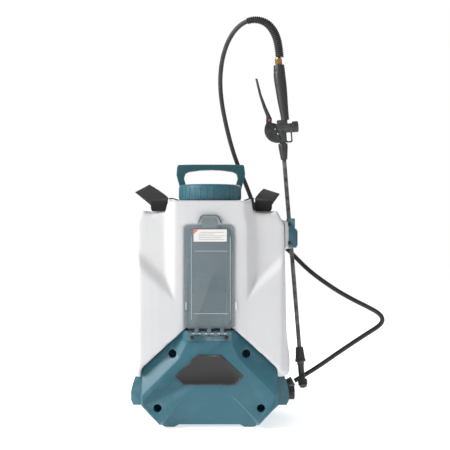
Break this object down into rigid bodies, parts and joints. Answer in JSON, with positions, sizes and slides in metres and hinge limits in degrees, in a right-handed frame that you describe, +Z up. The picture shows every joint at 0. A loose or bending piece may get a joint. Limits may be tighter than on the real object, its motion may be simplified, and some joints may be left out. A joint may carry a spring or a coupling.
{
  "type": "backpack sprayer",
  "caption": "Battery backpack sprayer: moulded tank on a faceted pump base, clear battery door, filler lid, carry handle, harness, hose and trigger wand in a side clip.",
  "frame": {"origin": "floor level under the middle of the object's box, hose left out", "axes": "+Z up, the front with its battery door faces -Y, +X is to the right seen from the front, where the wand stands"},
  "size_m": [0.5581, 0.2802, 0.8767],
  "materials": {
    "tank_shell": "blow-moulded, slightly translucent white polyethylene",
    "teal_plastic": "fine-grained injection-moulded teal plastic",
    "dark_teal": "satin dark teal plastic",
    "smoke_clear": "clear smoked polycarbonate",
    "black_plastic": "fine-grained black plastic",
    "grip_plastic": "dark grey nylon",
    "rubber_black": "matt black rubber",
    "hose_rubber": "satin black hose",
    "brass": "turned brass",
    "steel": "zinc-plated steel",
    "lance_coat": "black-coated tube",
    "webbing": "woven black polypropylene webbing",
    "label": "printed adhesive label",
    "red_plastic": "red plastic",
    "battery_grey": "grey plastic",
    "white_plastic": "white plastic",
    "board_green": "circuit board",
    "clear_tube": "clear vinyl tube",
    "copper": "tinned copper"
  },
  "bodies": {
    "root": {"tank": "tank_shell", "filler_neck": "tank_shell", "carry_handle": "dark_teal", "door_catch": "dark_teal", "hinge_bracket": "dark_teal", "hinge_pin": "steel", "hinge_screws": "steel", "battery_dock": "black_plastic", "dock_blades": "copper", "base_front_shell": "teal_plastic", "base_rear_shell": "teal_plastic", "badge_plate": "black_plastic", "front_screws": "steel", "rubber_feet": "rubber_black", "tank_outlet": "white_plastic", "outlet_strainer": "white_plastic", "suction_tube": "clear_tube", "delivery_tube": "hose_rubber", "pump_motor": "steel", "pump_head": "black_plastic", "pump_screws": "steel", "pressure_switch": "black_plastic", "control_board": "board_green", "wiring_loom": "rubber_black", "speed_control": "black_plastic", "hose_outlet": "black_plastic", "outlet_nut": "black_plastic", "wand_clip": "dark_teal", "clip_screws": "steel", "clip_pad": "rubber_black", "shoulder_straps": "webbing", "strap_buckles": "black_plastic", "hose_lower": "hose_rubber"},
    "lid_seal": {"cap_gasket": "rubber_black", "vent_valve": "rubber_black"},
    "filler_cap": {"filler_cap": "teal_plastic"},
    "fill_basket": {"fill_basket": "black_plastic"},
    "door": {"door": "smoke_clear", "door_label": "label"},
    "battery": {"battery_case": "battery_grey"},
    "battery_latch": {"battery_latch": "black_plastic"},
    "pump_rotor": {"pump_rotor": "steel"},
    "speed_knob": {"speed_knob": "black_plastic"},
    "wand": {"gun_body": "grip_plastic", "gun_grip": "grip_plastic", "valve_cap": "grip_plastic", "valve_spring": "steel", "trigger_pin": "steel", "lance_tube": "lance_coat", "nozzle_elbow": "black_plastic", "hose_fitting": "brass", "hose_upper": "hose_rubber", "bend_sleeve": "rubber_black"},
    "gun_collar": {"gun_collar": "black_plastic"},
    "trigger": {"trigger": "grip_plastic"},
    "trigger_lock": {"trigger_lock": "red_plastic"},
    "valve_stem": {"valve_stem": "brass"},
    "lance_nut": {"lance_nut": "grip_plastic"},
    "nozzle_nut": {"nozzle_nut": "black_plastic"},
    "nozzle_cap": {"nozzle_cap": "black_plastic"}
  },
  "joints": [
    {"name": "lid_lift", "type": "slide", "parent": "root", "child": "lid_seal", "axis": [0, 0, 1], "range_m": [0, 0.17]},
    {"name": "cap_turn", "type": "hinge", "parent": "lid_seal", "child": "filler_cap", "pos_m": [-0.01898, -0.007, 0.506], "axis": [0, 0, 1], "continuous": true},
    {"name": "basket_lift", "type": "slide", "parent": "root", "child": "fill_basket", "axis": [0, 0, 1], "range_m": [0, 0.085]},
    {"name": "door_open", "type": "hinge", "parent": "root", "child": "door", "pos_m": [-0.01898, -0.113, 0.199], "axis": [1, 0, 0], "range_deg": [0, 120]},
    {"name": "battery_slide", "type": "slide", "parent": "root", "child": "battery", "axis": [0, 0, 1], "range_m": [0, 0.09]},
    {"name": "battery_latch_press", "type": "slide", "parent": "battery", "child": "battery_latch", "axis": [0, 1, 0], "range_m": [0, 0.003], "stiffness_N_per_m": 300, "springref_m": -0.002},
    {"name": "pump_spin", "type": "hinge", "parent": "root", "child": "pump_rotor", "pos_m": [-0.01898, 0.041, 0.062], "axis": [1, 0, 0], "continuous": true},
    {"name": "speed_knob_turn", "type": "hinge", "parent": "root", "child": "speed_knob", "pos_m": [0.15902, 0.023, 0.052], "axis": [1, 0, 0], "range_deg": [0, 270]},
    {"name": "wand_slide", "type": "slide", "parent": "root", "child": "wand", "axis": [-0.0807, 0, 0.9967], "range_m": [0, 0.1]},
    {"name": "collar_turn", "type": "hinge", "parent": "wand", "child": "gun_collar", "pos_m": [0.12976, -0.013, 0.76291], "axis": [-0.0807, 0, 0.9967], "continuous": true},
    {"name": "trigger_pull", "type": "hinge", "parent": "wand", "child": "trigger", "pos_m": [0.1208, -0.013, 0.62574], "axis": [0, 1, 0], "range_deg": [0, 13], "stiffness_Nm_per_rad": 1.2, "springref_deg": -5.73},
    {"name": "trigger_lock_push", "type": "slide", "parent": "trigger", "child": "trigger_lock", "axis": [0, 1, 0], "range_m": [0, 0.003]},
    {"name": "valve_stem_push", "type": "slide", "parent": "wand", "child": "valve_stem", "axis": [0.9967, 0, 0.0807], "range_m": [0, 0.0026], "deforming": ["valve_spring"]},
    {"name": "lance_nut_turn", "type": "hinge", "parent": "wand", "child": "lance_nut", "pos_m": [0.13971, -0.013, 0.57811], "axis": [-0.0807, 0, 0.9967], "continuous": true},
    {"name": "nozzle_nut_turn", "type": "hinge", "parent": "wand", "child": "nozzle_nut", "pos_m": [0.17522, -0.013, 0.13954], "axis": [-0.0807, 0, 0.9967], "continuous": true},
    {"name": "nozzle_turn", "type": "hinge", "parent": "wand", "child": "nozzle_cap", "pos_m": [0.17845, -0.013, 0.09967], "axis": [0.0618, -0.6428, -0.7635], "continuous": true}
  ],
  "couplings": [
    {"joint": "basket_lift", "follows": "lid_lift", "ratio": 0.5},
    {"joint": "valve_stem_push", "follows": "trigger_pull", "m_per_rad": 0.0105}
  ]
}
